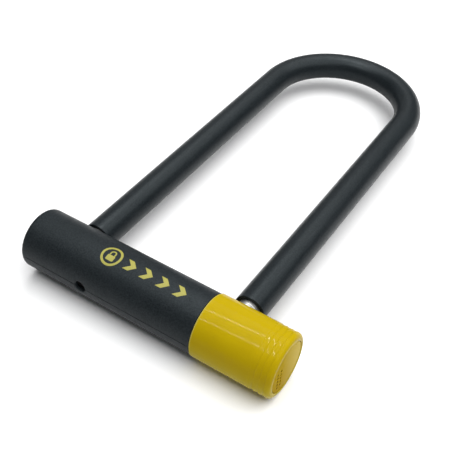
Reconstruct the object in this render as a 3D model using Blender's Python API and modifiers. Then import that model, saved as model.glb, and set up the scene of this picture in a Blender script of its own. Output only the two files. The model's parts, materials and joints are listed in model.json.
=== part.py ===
"""A U lock with an alarm, as separate pieces.

A coated steel shackle drops into two holes of a round crossbar. A key cylinder at the crossbar's left end
turns a crank pin, which lifts a long lock bar into a notch in each foot of the shackle. The yellow cap at
the right end covers the alarm: a switch that the lock bar presses, a board, two cells and a siren.

The lock's own frame: X along the crossbar towards the yellow cap, Y from the crossbar to the bow, Z up,
with its zero on the crossbar's axis midway between the legs. It is drawn seated and unlocked.
"""

import math

import bmesh
import bpy

MM = 0.001
GAP = 0.3            # air left between neighbours, in mm like every size below

# Shackle
LEG_X = 52.1         # from the middle to a leg's axis
BOW_Y = 230.5        # from the crossbar's axis to the bow's centre
BAR_R = 7.0
FOOT_R = 6.3
FOOT_TOP_Y = 17.0
FOOT_END_Y = -10.2
SLEEVE_R = 9.5
SLEEVE_WALL = 2.2
SLEEVE_LEFT_Y = 18.2
SLEEVE_RIGHT_Y = 22.0
NOTCH_HALF_Y = 3.9
NOTCH_ROOF_Z = -2.2
FOOT_LEAD = 1.6      # chamfer at a foot's tip

# Crossbar
COVER_R = 18.5
COVER_BORE_R = 16.2
COVER_LEFT_X = -79.5
COVER_RIGHT_X = 39.1
COVER_EDGE_R = 2.6
COVER_MOUTH_R = 15.2
TUBE_R = 15.9
TUBE_BORE_R = 12.9
TUBE_LEFT_X = -76.2
TUBE_RIGHT_X = 64.0
TUBE_HOLE_R = 8.9
BUSH_R = (7.25, 8.6)
BUSH_Y = (8.9, 13.4)
BLOCK_HALF_X = 8.5
BLOCK_SLOT_ROOF_Z = -2.5

# Retaining screw
SCREW_X = -35.0
SCREW_R = 2.3
SCREW_Y = (-15.6, -6.4)
SCREW_BORE_R = 2.6
SCREW_ACCESS_R = 3.6
SOCKET_R = 1.3

# Key cylinder
PLATE_X = (-77.9, -76.2)
PLATE_R = 14.9
KEYHOLE_R = 3.4
PIVOT_Z = 7.6        # dust cover pivot above the axis
RIVET_SHANK_R = 1.2
RIVET_HEAD_R = (1.9, 2.1)
RIVET_HEAD_THICK = 0.35
FLAP_DISC_R = 5.8    # dust cover
FLAP_LOBE_R = 2.6
FLAP_THICK = 0.7
HOUSING_X = (-75.9, -64.3)
HOUSING_R = 12.6
HOUSING_BORE_R = 8.3
HOUSING_PIN_X = -70.0
HOUSING_PIN_R = 1.5
HOUSING_PIN_Y = (9.6, 15.6)
PLUG_X = (-75.6, -64.0)
PLUG_R = 8.0
PLUG_WALL = 1.2
DISC_COUNT = 6
DISC_START = 1.45    # from the plug's face to the first code disc
DISC_PITCH = 1.5
DISC_THICK = 1.1
DISC_R = 6.1
KEYWAY_HALF = (1.1, 2.7)
SIDEBAR_HALF_X = 3.7
SIDEBAR_HALF_Y = 0.75
SIDEBAR_Z = (5.4, 7.8)
GATE_DEPTH = 1.2     # of the grooves in the housing's bore

# Lock bar and its crank
CRANK_R = 2.83       # crank pin's distance from the axis
CRANK_START = math.radians(-45)
CRANK_PIN_R = 1.25
CRANK_SLOT_PLAY = 0.4
LUG_X = (-63.2, -60.0)
LUG_WALL = 1.5
BAR_HALF_Y = 2.6
BAR_LEAD = 1.2       # chamfer that leads the teeth into the feet
BAR_Z = (-12.0, -7.0)
BAR_WEB_Z = -9.4
BAR_END_X = 65.2

# Yellow cap and the alarm in it
CAP_R = 19.05
CAP_X = (39.4, 88.7)
CAP_END_R = 18.9
CAP_EDGE_R = 2.4
CAP_CHAMFER = 0.5
CAP_MOUTH_R = 15.3
CAP_LEG_HOLE_R = 8.0
GRILLE_X = (85.9, 88.5)
GRILLE_R = 15.0
SOUND_HOLE_R = 0.65
SOUND_HOLE_ROWS = (-9.2, -5.9)
SOUND_HOLE_TOP_Z = 3.0
SOUND_HOLE_PITCH = 2.8
SINGLE_HOLE_R = 0.5
SINGLE_HOLE_AT = (7.7, 10.6)
RIB_X = (77.3, 80.7, 84.1)
RIB_DEPTH = 0.25
CARRIER_R = (14.6, 15.9)
BOARD_X = (66.2, 67.4)
BOARD_R = 14.2
CHIP_Z = (10.6, 13.0)
CHIP_HALF_Y = 3.0
CHIP_THICK = 1.0
SENSOR_R = 1.6
SENSOR_LONG = 5.0
SENSOR_PLACE = (0, 6.5, 6.5)
COIL_R = 2.2
COIL_LONG = 3.5
COIL_PLACE = (0, -7.5, 5.5)
CELL_X = (69.0, 72.5)
CELL_R = 10.0
CELL_THICK = 3.2
CONTACT_R = 2.0      # of the hole in both contacts
FRONT_CONTACT_R = 4.0
REAR_CONTACT_R = 6.0
REAR_CONTACT_THICK = 0.4
SIREN_X = (77.3, 84.4)
SIREN_R = 13.6
SIREN_WALL = 1.2
SIREN_SEAT_R = 10.4
SIREN_SEAT_X = 80.8
DIAPHRAGM_X = (81.1, 81.5)
DIAPHRAGM_R = 12.1
CRYSTAL_R = 9.0
CRYSTAL_THICK = 0.4
GRILLE_SEAL_R = 13.0
GRILLE_SEAL_X = (84.7, 85.6)
CAP_SEAL_R = 14.8
SEAL_THICK = 0.3
SWITCH_X = 62.6
SWITCH_HALF_Y = 3.0
SWITCH_Z = (-1.4, 5.0)
PLUNGER_BORE_R = 1.2
PLUNGER_BORE_TOP_Z = 2.4
PLUNGER_Z = (-3.8, -0.1)

LARGE = 32           # sides of the large turned pieces
SMALL = 20


def middle_of_box():
    """Where the lock's zero goes, so that the whole lock's box stands centred on the origin, at z = 0."""
    back_y = BOW_Y + LEG_X + SLEEVE_R
    return (
        -(COVER_LEFT_X + CAP_X[1]) / 2 * MM,
        -(back_y - CAP_R) / 2 * MM,
        CAP_R * MM,
    )


def clear_scene():
    for obj in list(bpy.data.objects):
        bpy.data.objects.remove(obj, do_unlink=True)


def new_collection(name):
    collection = bpy.data.collections.new(name)
    bpy.context.scene.collection.children.link(collection)
    return collection


clear_scene()
PARTS = new_collection("u_lock")
CUTTERS = new_collection("cutters")
CUTTERS.hide_render = True
LOCK = bpy.data.objects.new("lock_zero", None)
LOCK.location = middle_of_box()
PARTS.objects.link(LOCK)


# Materials

def material(name, colour, roughness, metallic=0.0):
    made = bpy.data.materials.new(name)
    made.use_nodes = True
    shader = made.node_tree.nodes["Principled BSDF"]
    shader.inputs["Base Color"].default_value = (*colour, 1.0)
    shader.inputs["Roughness"].default_value = roughness
    shader.inputs["Metallic"].default_value = metallic
    return made


BLACK_COVER = material("black_cover", (0.035, 0.04, 0.043), 0.55)
BLACK_COATING = material("black_coating", (0.03, 0.035, 0.038), 0.48)
YELLOW = material("yellow_plastic", (0.70, 0.52, 0.02), 0.25)
STEEL = material("bright_steel", (0.62, 0.62, 0.6), 0.28, 1.0)
DARK_STEEL = material("dark_steel", (0.25, 0.25, 0.26), 0.4, 1.0)
BRASS = material("brass", (0.78, 0.6, 0.28), 0.35, 1.0)
ZINC = material("zinc", (0.5, 0.5, 0.5), 0.5, 1.0)
RUBBER = material("seal_rubber", (0.02, 0.02, 0.02), 0.8)
WHITE_PLASTIC = material("white_plastic", (0.75, 0.75, 0.72), 0.5)
GREEN_BOARD = material("green_board", (0.02, 0.2, 0.08), 0.5)
BLACK_PLASTIC = material("black_plastic", (0.02, 0.02, 0.02), 0.45)


# Shape helpers. Sizes come in mm and meshes are made in metres.

def add_object(name, mesh, look, place=(0, 0, 0), turn=(0, 0, 0), collection=None):
    obj = bpy.data.objects.new(name, mesh)
    (collection or PARTS).objects.link(obj)
    obj.parent = LOCK
    obj.location = [value * MM for value in place]
    obj.rotation_euler = turn
    if look:
        mesh.materials.append(look)
    else:
        obj.hide_render = True
        obj.display_type = "WIRE"
    return obj


ALONG = {"X": (0, math.pi / 2, 0), "Y": (-math.pi / 2, 0, 0), "Z": (0, 0, 0)}


def turned(name, profile, look, axis="X", place=(0, 0, 0), sides=LARGE, ring=False):
    """A solid of revolution. The profile is (radius, height) pairs, from the top down its outer side."""
    mesh = bpy.data.meshes.new(name)
    points = [(radius * MM, 0, height * MM) for radius, height in profile]
    edges = [(index, index + 1) for index in range(len(points) - 1)]
    if ring:
        edges.append((len(points) - 1, 0))
    mesh.from_pydata(points, edges, [])
    obj = add_object(name, mesh, look, place, ALONG[axis], None if look else CUTTERS)
    screw = obj.modifiers.new("turn", "SCREW")
    screw.steps = screw.render_steps = sides
    screw.use_merge_vertices = True
    screw.merge_threshold = 0.00001
    return obj


def rod(name, radius, low, high, look, axis="X", place=(0, 0, 0), sides=SMALL):
    profile = [(0, high), (radius, high), (radius, low), (0, low)]
    return turned(name, profile, look, axis, place, sides)


def ring(name, inner, outer, low, high, look, axis="X", place=(0, 0, 0), sides=LARGE):
    profile = [(inner, high), (outer, high), (outer, low), (inner, low)]
    return turned(name, profile, look, axis, place, sides, ring=True)


def block(name, low, high, look, place=(0, 0, 0)):
    mesh = bpy.data.meshes.new(name)
    shape = bmesh.new()
    bmesh.ops.create_cube(shape, size=1.0)
    for vertex in shape.verts:
        for axis in range(3):
            span = (high[axis] - low[axis]) * MM
            vertex.co[axis] = vertex.co[axis] * span + (low[axis] + high[axis]) / 2 * MM
    shape.to_mesh(mesh)
    shape.free()
    return add_object(name, mesh, look, place, collection=None if look else CUTTERS)


def change(obj, other, operation="DIFFERENCE"):
    step = obj.modifiers.new(f"{operation.lower()}_{other.name}", "BOOLEAN")
    step.operation = operation
    step.object = other
    return obj


def quarter(centre_r, centre_h, radius, start, end, steps=4):
    """Points of an arc in a turned profile. Angles are in degrees, from outwards (0) to up (90)."""
    angles = [math.radians(start + (end - start) * step / steps) for step in range(steps + 1)]
    return [
        (centre_r + radius * math.cos(angle), centre_h + radius * math.sin(angle))
        for angle in angles
    ]


def u_path(left_y, right_y, steps=20):
    """The shackle's centre line: up the left leg, round the bow, down the right leg."""
    bow = []
    for step in range(steps + 1):
        angle = math.pi * (1 - step / steps)
        bow.append((LEG_X * math.cos(angle), BOW_Y + LEG_X * math.sin(angle)))
    return [(-LEG_X, left_y), *bow, (LEG_X, right_y)]


def mesh_of_curve(curve):
    """A curve's evaluated shape as one welded mesh that faces out. The curve itself is removed."""
    guide = bpy.data.objects.new(f"{curve.name}_guide", curve)
    CUTTERS.objects.link(guide)
    graph = bpy.context.evaluated_depsgraph_get()
    mesh = bpy.data.meshes.new_from_object(guide.evaluated_get(graph))
    mesh.transform(guide.matrix_world)
    bpy.data.objects.remove(guide)
    shape = bmesh.new()
    shape.from_mesh(mesh)
    bmesh.ops.remove_doubles(shape, verts=shape.verts, dist=0.00001)
    bmesh.ops.recalc_face_normals(shape, faces=shape.faces)
    shape.to_mesh(mesh)
    shape.free()
    mesh.name = curve.name
    bpy.data.curves.remove(curve)
    return mesh


def poly_spline(curve, points):
    spline = curve.splines.new("POLY")
    spline.points.add(len(points) - 1)
    for point, (x, y) in zip(spline.points, points):
        point.co = (x * MM, y * MM, 0, 1)
    return spline


def plate(name, outline, thick, look, place, turn):
    """A flat piece with this outline."""
    curve = bpy.data.curves.new(name, "CURVE")
    curve.dimensions = "2D"
    curve.fill_mode = "BOTH"
    curve.extrude = thick / 2 * MM
    poly_spline(curve, outline).use_cyclic_u = True
    return add_object(name, mesh_of_curve(curve), look, place, turn)


def u_tube(name, radius, left_y, right_y, look, caps):
    """A round bar or an open tube along the shackle's centre line."""
    curve = bpy.data.curves.new(name, "CURVE")
    curve.dimensions = "3D"
    curve.twist_mode = "Z_UP"
    curve.bevel_depth = radius * MM
    curve.bevel_resolution = (SMALL - 4) // 2
    curve.use_fill_caps = caps
    poly_spline(curve, u_path(left_y, right_y))
    return add_object(name, mesh_of_curve(curve), look)


# Shackle

def foot_cutter(name, x):
    """Takes a foot down from the bar's radius, with a lead-in at its tip."""
    profile = [
        (FOOT_R, FOOT_TOP_Y),
        (BAR_R + 2, FOOT_TOP_Y),
        (BAR_R + 2, FOOT_END_Y - 2),
        (0.5, FOOT_END_Y - 2),
        (0.5, FOOT_END_Y),
        (FOOT_R - FOOT_LEAD, FOOT_END_Y),
        (FOOT_R, FOOT_END_Y + FOOT_LEAD),
    ]
    return turned(name, profile, None, "Y", (x, 0, 0), SMALL, ring=True)


def shackle_bar():
    bar = u_tube("shackle_bar", BAR_R, FOOT_END_Y, FOOT_END_Y, STEEL, caps=True)
    for side, x in (("left", -LEG_X), ("right", LEG_X)):
        change(bar, foot_cutter(f"{side}_foot_cut", x))
        notch = block(
            f"{side}_notch_cut",
            (x - BAR_R - 1, -NOTCH_HALF_Y, -BAR_R - 1),
            (x + BAR_R + 1, NOTCH_HALF_Y, NOTCH_ROOF_Z),
            None,
        )
        change(bar, notch)


def shackle_sleeve():
    ends_y = SLEEVE_LEFT_Y, SLEEVE_RIGHT_Y
    sleeve = u_tube("shackle_sleeve", SLEEVE_R, *ends_y, BLACK_COATING, caps=False)
    shell = sleeve.modifiers.new("wall", "SOLIDIFY")
    shell.thickness = SLEEVE_WALL * MM
    shell.offset = -1
    shell.use_even_offset = True


# Crossbar shell

def leg_hole(name, x, radius):
    return rod(name, radius, 4, COVER_R + 6, None, "Y", (x, 0, 0), SMALL)


def front_hole(name, radius):
    return rod(name, radius, -COVER_R - 4, -5, None, "Y", (SCREW_X, 0, 0), SMALL)


def housing_pin_hole(name):
    low_y, high_y = HOUSING_PIN_Y
    place = HOUSING_PIN_X, 0, 0
    return rod(name, HOUSING_PIN_R + GAP, low_y - GAP, high_y + 3, None, "Y", place, 12)


def crossbar_tube():
    tube = ring("crossbar_tube", TUBE_BORE_R, TUBE_R, TUBE_LEFT_X, TUBE_RIGHT_X, DARK_STEEL)
    for side, x in (("left", -LEG_X), ("right", LEG_X)):
        change(tube, leg_hole(f"tube_{side}_hole", x, TUBE_HOLE_R))
    change(tube, front_hole("tube_screw_hole", SCREW_BORE_R))
    change(tube, housing_pin_hole("tube_pin_hole"))


def crossbar_cover():
    edge_x = COVER_LEFT_X + COVER_EDGE_R
    edge = quarter(COVER_R - COVER_EDGE_R, edge_x, COVER_EDGE_R, 0, -90)
    profile = [
        (COVER_BORE_R, COVER_RIGHT_X),
        (COVER_R, COVER_RIGHT_X),
        *edge,
        (COVER_MOUTH_R, COVER_LEFT_X),
        (COVER_MOUTH_R, TUBE_LEFT_X - GAP),
        (COVER_BORE_R, TUBE_LEFT_X - GAP),
    ]
    cover = turned("crossbar_cover", profile, BLACK_COVER, ring=True)
    change(cover, leg_hole("cover_leg_hole", -LEG_X, SLEEVE_R + GAP))
    change(cover, front_hole("cover_front_hole", SCREW_ACCESS_R))


def leg_bushes():
    for side, x in (("left", -LEG_X), ("right", LEG_X)):
        ring(f"leg_bush_{side}", *BUSH_R, *BUSH_Y, BLACK_PLASTIC, "Y", (x, 0, 0), SMALL)


def guide_block(side, x):
    """Carries the lock bar in a slot that is open below."""
    low_x, high_x = x - BLOCK_HALF_X, x + BLOCK_HALF_X
    body = rod(f"guide_block_{side}", TUBE_BORE_R - GAP, low_x, high_x, ZINC, sides=LARGE)
    slot = block(
        f"{side}_block_slot",
        (low_x - 2, -BAR_HALF_Y - GAP, -TUBE_R),
        (high_x + 2, BAR_HALF_Y + GAP, BLOCK_SLOT_ROOF_Z),
        None,
    )
    return change(body, slot)


def retaining_screw():
    place = SCREW_X, 0, 0
    screw = rod("retaining_screw", SCREW_R, *SCREW_Y, DARK_STEEL, "Y", place, 12)
    head_y = SCREW_Y[0]
    change(screw, rod("screw_socket", SOCKET_R, head_y - 2, head_y + 2.6, None, "Y", place, 6))


def housing_pin():
    rod("housing_pin", HOUSING_PIN_R, *HOUSING_PIN_Y, STEEL, "Y", (HOUSING_PIN_X, 0, 0), 12)


# Key cylinder

def rivet_hole(name):
    return rod(name, RIVET_SHANK_R + GAP, COVER_LEFT_X - 1, PLATE_X[1] + 1, None, "X", (0, 0, PIVOT_Z), 12)


def key_end_plate():
    face = ring("key_end_plate", KEYHOLE_R, PLATE_R, *PLATE_X, BLACK_PLASTIC)
    change(face, rivet_hole("plate_rivet_hole"))


def dust_cover():
    """A teardrop plate that swings about a rivet above the keyhole. Its origin is on the rivet's axis."""
    lean = math.asin((FLAP_DISC_R - FLAP_LOBE_R) / PIVOT_Z)
    outline = []
    for centre_y, radius, start, end, steps in (
        (-PIVOT_Z, FLAP_DISC_R, math.pi - lean, 2 * math.pi + lean, 16),
        (0, FLAP_LOBE_R, lean, math.pi - lean, 8),
    ):
        for step in range(steps + 1):
            angle = start + (end - start) * step / steps
            outline.append((radius * math.cos(angle), centre_y + radius * math.sin(angle)))
    place = PLATE_X[0] - GAP - FLAP_THICK / 2, 0, PIVOT_Z
    upright = math.pi / 2, 0, math.pi / 2
    flap = plate("dust_cover", outline, FLAP_THICK, STEEL, place, upright)
    change(flap, rivet_hole("flap_rivet_hole"))


def dust_cover_rivet():
    head_x = COVER_LEFT_X + 0.05
    below_x = head_x + RIVET_HEAD_THICK
    end_x = TUBE_LEFT_X
    rim_r, wide_r = RIVET_HEAD_R
    profile = [
        (0, end_x),
        (RIVET_SHANK_R, end_x),
        (RIVET_SHANK_R, below_x),
        (wide_r, below_x),
        (rim_r, head_x),
        (0, head_x),
    ]
    turned("dust_cover_rivet", profile, STEEL, "X", (0, 0, PIVOT_Z), 16)


def slot_along_x(name, half_y, low_z, high_z, low_x, high_x):
    return block(name, (low_x, -half_y, low_z), (high_x, half_y, high_z), None)


def cylinder_housing():
    housing = ring("cylinder_housing", HOUSING_BORE_R, HOUSING_R, *HOUSING_X, BRASS)
    low_x, high_x = HOUSING_X[0] + 1.4, HOUSING_X[1] - 1.2
    half = SIDEBAR_HALF_Y + 0.35
    gate_r = HOUSING_BORE_R + GATE_DEPTH
    change(housing, slot_along_x("upper_gate", half, 7, gate_r, low_x, high_x))
    change(housing, block("front_gate", (low_x, -gate_r, -half), (high_x, -7, half), None))
    change(housing, housing_pin_hole("housing_pin_hole"))


def cylinder_plug():
    """The part that turns with the key. It holds the code discs, and its crank pin drives the lock bar."""
    low_x, high_x = PLUG_X
    plug = rod("cylinder_plug", PLUG_R, low_x, high_x, BRASS, sides=32)
    cavity = rod("plug_cavity", DISC_R + GAP, low_x + PLUG_WALL, high_x - PLUG_WALL, None, sides=24)
    change(plug, cavity)
    half_y, half_z = KEYWAY_HALF
    change(plug, slot_along_x("plug_keyway", half_y, -half_z, half_z, low_x - 1, low_x + 2))
    half = SIDEBAR_HALF_Y + GAP
    sidebar_ends = HOUSING_PIN_X - SIDEBAR_HALF_X - GAP, HOUSING_PIN_X + SIDEBAR_HALF_X + GAP
    change(plug, slot_along_x("sidebar_slot", half, SIDEBAR_Z[0] - 0.5, PLUG_R + 1, *sidebar_ends))
    pin_place = 0, CRANK_R * math.cos(CRANK_START), CRANK_R * math.sin(CRANK_START)
    pin = rod("crank_pin", CRANK_PIN_R, high_x - 0.5, LUG_X[1] - 0.4, None, "X", pin_place, 16)
    change(plug, pin, "UNION")


def code_discs():
    half_y, half_z = KEYWAY_HALF
    gate_half = SIDEBAR_HALF_Y + GAP
    for index in range(DISC_COUNT):
        low_x = PLUG_X[0] + DISC_START + index * DISC_PITCH
        disc = rod(f"code_disc_{index + 1}", DISC_R, low_x, low_x + DISC_THICK, BRASS, sides=24)
        ends = low_x - 1, low_x + 2
        change(disc, slot_along_x(f"disc_keyway_{index + 1}", half_y, -half_z, half_z, *ends))
        gate_z = SIDEBAR_Z[0] - GAP, DISC_R + 1
        change(disc, slot_along_x(f"disc_gate_{index + 1}", gate_half, *gate_z, *ends))


def sidebar():
    low = HOUSING_PIN_X - SIDEBAR_HALF_X, -SIDEBAR_HALF_Y, SIDEBAR_Z[0]
    high = HOUSING_PIN_X + SIDEBAR_HALF_X, SIDEBAR_HALF_Y, SIDEBAR_Z[1]
    block("sidebar", low, high, STEEL)


# Lock bar

def lock_bar():
    """A long bar below the feet, with a tooth for each foot and a slotted lug for the crank pin."""
    low_z, high_z = BAR_Z
    shoulder_z = high_z - BAR_LEAD
    half_top = BAR_HALF_Y - BAR_LEAD
    section = [
        (-low_z, -BAR_HALF_Y),
        (-low_z, BAR_HALF_Y),
        (-shoulder_z, BAR_HALF_Y),
        (-high_z, half_top),
        (-high_z, -half_top),
        (-shoulder_z, -BAR_HALF_Y),
    ]
    middle = (LUG_X[0] + BAR_END_X) / 2, 0, 0
    bar = plate("lock_bar", section, BAR_END_X - LUG_X[0], STEEL, middle, ALONG["X"])
    inner_x = LEG_X - BAR_R
    waist = (-inner_x, -BAR_HALF_Y - 1, BAR_WEB_Z), (inner_x, BAR_HALF_Y + 1, high_z + 1)
    change(bar, block("bar_waist", *waist, None))
    slot_z = CRANK_R * math.sin(CRANK_START)
    slot_half = CRANK_PIN_R + CRANK_SLOT_PLAY
    near_y = CRANK_R * math.cos(CRANK_START) - slot_half
    far_y = CRANK_R + slot_half
    lug_low = LUG_X[0], GAP - BAR_HALF_Y, low_z + LUG_WALL
    lug_high = LUG_X[1], far_y + LUG_WALL, slot_z + slot_half + LUG_WALL
    change(bar, block("bar_lug", lug_low, lug_high, None), "UNION")
    slot = (LUG_X[0] - 1, near_y, slot_z - slot_half), (LUG_X[1] + 1, far_y, slot_z + slot_half)
    change(bar, block("crank_slot", *slot, None))


# Yellow cap and alarm

def cap_profile():
    """Outer side of the cap from its closed end down to its open rim, then back up inside."""
    low_x, high_x = CAP_X
    edge = quarter(CAP_END_R - CAP_EDGE_R, high_x - CAP_EDGE_R, CAP_EDGE_R, 0, 90)
    outer = list(reversed(edge))
    for index, rib_x in enumerate(reversed(RIB_X)):
        shoulder = CAP_END_R + (CAP_R - CAP_END_R) * (index + 1) / len(RIB_X)
        groove = (shoulder - 0.1, rib_x + 1.0), (shoulder - RIB_DEPTH, rib_x), (shoulder, rib_x - 1.2)
        outer += groove
    outer += [(CAP_R, low_x + CAP_CHAMFER), (CAP_R - CAP_CHAMFER, low_x)]
    inner = [
        (COVER_BORE_R, low_x),
        (COVER_BORE_R, GRILLE_X[0] - GAP),
        (CAP_MOUTH_R, GRILLE_X[0] - GAP),
        (CAP_MOUTH_R, high_x),
    ]
    return outer + inner


def alarm_cap():
    cap = turned("alarm_cap", cap_profile(), YELLOW, ring=True)
    change(cap, leg_hole("cap_leg_hole", LEG_X, CAP_LEG_HOLE_R))


def sound_hole_places():
    """Two rows of five holes on the front side of the centre."""
    for row_y in SOUND_HOLE_ROWS:
        for step in range(5):
            yield row_y, SOUND_HOLE_TOP_Z - SOUND_HOLE_PITCH * step


def siren_grille():
    grille = rod("siren_grille", GRILLE_R, *GRILLE_X, YELLOW, sides=LARGE)
    ends = GRILLE_X[0] - 1, GRILLE_X[1] + 1
    for index, (y, z) in enumerate(sound_hole_places()):
        change(grille, rod(f"sound_hole_{index + 1}", SOUND_HOLE_R, *ends, None, "X", (0, y, z), 8))
    change(grille, rod("single_hole", SINGLE_HOLE_R, *ends, None, "X", (0, *SINGLE_HOLE_AT), 8))


def alarm_carrier():
    """The tray that slides into the cap and holds the board, the cells and the siren."""
    ring("alarm_carrier", *CARRIER_R, TUBE_RIGHT_X + 0.6, GRILLE_X[0] - 0.6, BLACK_PLASTIC)


def alarm_board():
    """The board with its chip on one side and the vibration sensor and the coil on the other."""
    low_x, high_x = BOARD_X
    rod("alarm_board", BOARD_R, low_x, high_x, GREEN_BOARD, sides=32)
    chip_low = high_x + GAP, -CHIP_HALF_Y, CHIP_Z[0]
    chip_high = high_x + GAP + CHIP_THICK, CHIP_HALF_Y, CHIP_Z[1]
    block("alarm_chip", chip_low, chip_high, BLACK_PLASTIC)
    near_x = low_x - GAP
    rod("vibration_sensor", SENSOR_R, near_x - SENSOR_LONG, near_x, BRASS, "X", SENSOR_PLACE, 12)
    rod("boost_coil", COIL_R, near_x - COIL_LONG, near_x, BLACK_PLASTIC, "X", COIL_PLACE, 12)


def cells():
    """Two coin cells in their holder, with a contact at each end."""
    board_x, stack_end_x = BOARD_X[1], CELL_X[1] + CELL_THICK
    holder_x = board_x + 1.4, stack_end_x + 0.6
    ring("battery_holder", CELL_R + GAP, BOARD_R, *holder_x, WHITE_PLASTIC, sides=32)
    for number, low_x in enumerate(CELL_X, 1):
        rod(f"coin_cell_{number}", CELL_R, low_x, low_x + CELL_THICK, STEEL, sides=32)
    front_x = board_x + GAP, CELL_X[0] - GAP
    ring("battery_contact_front", CONTACT_R, FRONT_CONTACT_R, *front_x, BRASS, sides=16)
    rear_x = stack_end_x + GAP, stack_end_x + GAP + REAR_CONTACT_THICK
    ring("battery_contact_rear", CONTACT_R, REAR_CONTACT_R, *rear_x, BRASS, sides=16)


def siren():
    """A cup with a seat for the diaphragm, and the crystal that shakes it."""
    low_x, high_x = SIREN_X
    floor_x = low_x + SIREN_WALL
    cup = [
        (SIREN_R - SIREN_WALL, high_x),
        (SIREN_R, high_x),
        (SIREN_R, low_x),
        (0, low_x),
        (0, floor_x),
        (SIREN_SEAT_R, floor_x),
        (SIREN_SEAT_R, SIREN_SEAT_X),
        (SIREN_R - SIREN_WALL, SIREN_SEAT_X),
    ]
    turned("siren_cup", cup, BLACK_PLASTIC, sides=32, ring=True)
    rod("siren_diaphragm", DIAPHRAGM_R, *DIAPHRAGM_X, BRASS, sides=32)
    crystal_x = DIAPHRAGM_X[0] - GAP
    rod("siren_crystal", CRYSTAL_R, crystal_x - CRYSTAL_THICK, crystal_x, WHITE_PLASTIC, sides=24)


def seals():
    ring("grille_seal", GRILLE_SEAL_R, BOARD_R, *GRILLE_SEAL_X, RUBBER, sides=32)
    low_x = TUBE_RIGHT_X + SEAL_THICK / 2
    ring("cap_seal", CAP_SEAL_R, TUBE_R, low_x, low_x + SEAL_THICK, RUBBER, sides=32)


def arming_switch():
    """A switch on the board. The lock bar pushes its plunger up as it locks."""
    low = SWITCH_X - 2.2, -SWITCH_HALF_Y, SWITCH_Z[0]
    high = BOARD_X[0] - GAP, SWITCH_HALF_Y, SWITCH_Z[1]
    body = block("arming_switch", low, high, BLACK_PLASTIC)
    place = SWITCH_X, 0, 0
    bore_z = SWITCH_Z[0] - 1.6, PLUNGER_BORE_TOP_Z
    change(body, rod("plunger_bore", PLUNGER_BORE_R, *bore_z, None, "Z", place, 12))
    rod("switch_plunger", PLUNGER_BORE_R - GAP, *PLUNGER_Z, WHITE_PLASTIC, "Z", place, 12)


def build_lock():
    shackle_bar()
    shackle_sleeve()
    crossbar_tube()
    crossbar_cover()
    leg_bushes()
    left_block = guide_block("left", SCREW_X)
    change(left_block, front_hole("block_screw_hole", SCREW_BORE_R))
    guide_block("right", -SCREW_X)
    retaining_screw()
    housing_pin()
    key_end_plate()
    dust_cover()
    dust_cover_rivet()
    cylinder_housing()
    cylinder_plug()
    code_discs()
    sidebar()
    lock_bar()
    alarm_cap()
    siren_grille()
    alarm_carrier()
    alarm_board()
    cells()
    siren()
    seals()
    arming_switch()


build_lock()
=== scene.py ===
import json
import math
from collections import namedtuple

import bmesh
import bpy
from mathutils import Matrix, Vector


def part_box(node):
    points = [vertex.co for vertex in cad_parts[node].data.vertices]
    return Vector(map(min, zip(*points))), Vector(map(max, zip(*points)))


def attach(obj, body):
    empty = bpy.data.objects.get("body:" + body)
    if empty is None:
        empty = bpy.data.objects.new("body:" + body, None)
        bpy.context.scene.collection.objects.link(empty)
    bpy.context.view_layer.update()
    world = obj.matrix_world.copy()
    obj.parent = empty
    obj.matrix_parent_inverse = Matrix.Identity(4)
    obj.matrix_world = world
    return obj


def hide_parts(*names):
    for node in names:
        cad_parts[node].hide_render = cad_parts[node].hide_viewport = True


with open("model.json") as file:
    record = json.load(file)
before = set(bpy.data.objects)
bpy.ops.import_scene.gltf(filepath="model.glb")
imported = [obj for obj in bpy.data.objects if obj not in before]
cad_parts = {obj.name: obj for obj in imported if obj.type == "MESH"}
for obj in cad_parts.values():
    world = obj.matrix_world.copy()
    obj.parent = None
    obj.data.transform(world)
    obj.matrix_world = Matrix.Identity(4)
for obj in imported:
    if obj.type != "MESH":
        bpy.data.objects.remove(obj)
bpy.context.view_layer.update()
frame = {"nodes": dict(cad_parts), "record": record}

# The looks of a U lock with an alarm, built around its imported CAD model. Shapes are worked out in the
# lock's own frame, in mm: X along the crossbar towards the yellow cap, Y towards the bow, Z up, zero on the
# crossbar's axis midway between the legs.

MM = 0.001


# Sizes from the CAD boxes

def box_mm(node):
    """A CAD node's box in the lock's frame, in mm."""
    low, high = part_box(node)
    return (low - ZERO) / MM, (high - ZERO) / MM


sleeve_low, sleeve_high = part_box("shackle_sleeve")
cover_low, cover_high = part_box("crossbar_cover")
ZERO = Vector((
    (sleeve_low.x + sleeve_high.x) / 2,
    (cover_low.y + cover_high.y) / 2,
    (cover_low.z + cover_high.z) / 2,
))

COVER_LOW, COVER_HIGH = box_mm("crossbar_cover")
COVER_R = COVER_HIGH.z
CAP_LOW, CAP_HIGH = box_mm("alarm_cap")
CAP_R = CAP_HIGH.z
SLEEVE_LOW, SLEEVE_HIGH = box_mm("shackle_sleeve")
SLEEVE_R = SLEEVE_HIGH.z
LEG_X = SLEEVE_HIGH.x - SLEEVE_R
BOW_Y = SLEEVE_HIGH.y - SLEEVE_R - LEG_X
BAR_LOW, BAR_HIGH = box_mm("shackle_bar")
BAR_R = BAR_HIGH.z
PLATE_LOW, PLATE_HIGH = box_mm("key_end_plate")
FLAP_LOW, FLAP_HIGH = box_mm("dust_cover")
RIVET_LOW, RIVET_HIGH = box_mm("dust_cover_rivet")
SCREW_LOW, SCREW_HIGH = box_mm("retaining_screw")
GRILLE_LOW, GRILLE_HIGH = box_mm("siren_grille")
BUSH_LOW, BUSH_HIGH = box_mm("leg_bush_right")
SCREW_X = (SCREW_LOW.x + SCREW_HIGH.x) / 2
PIVOT_Z = (RIVET_LOW.z + RIVET_HIGH.z) / 2

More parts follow.
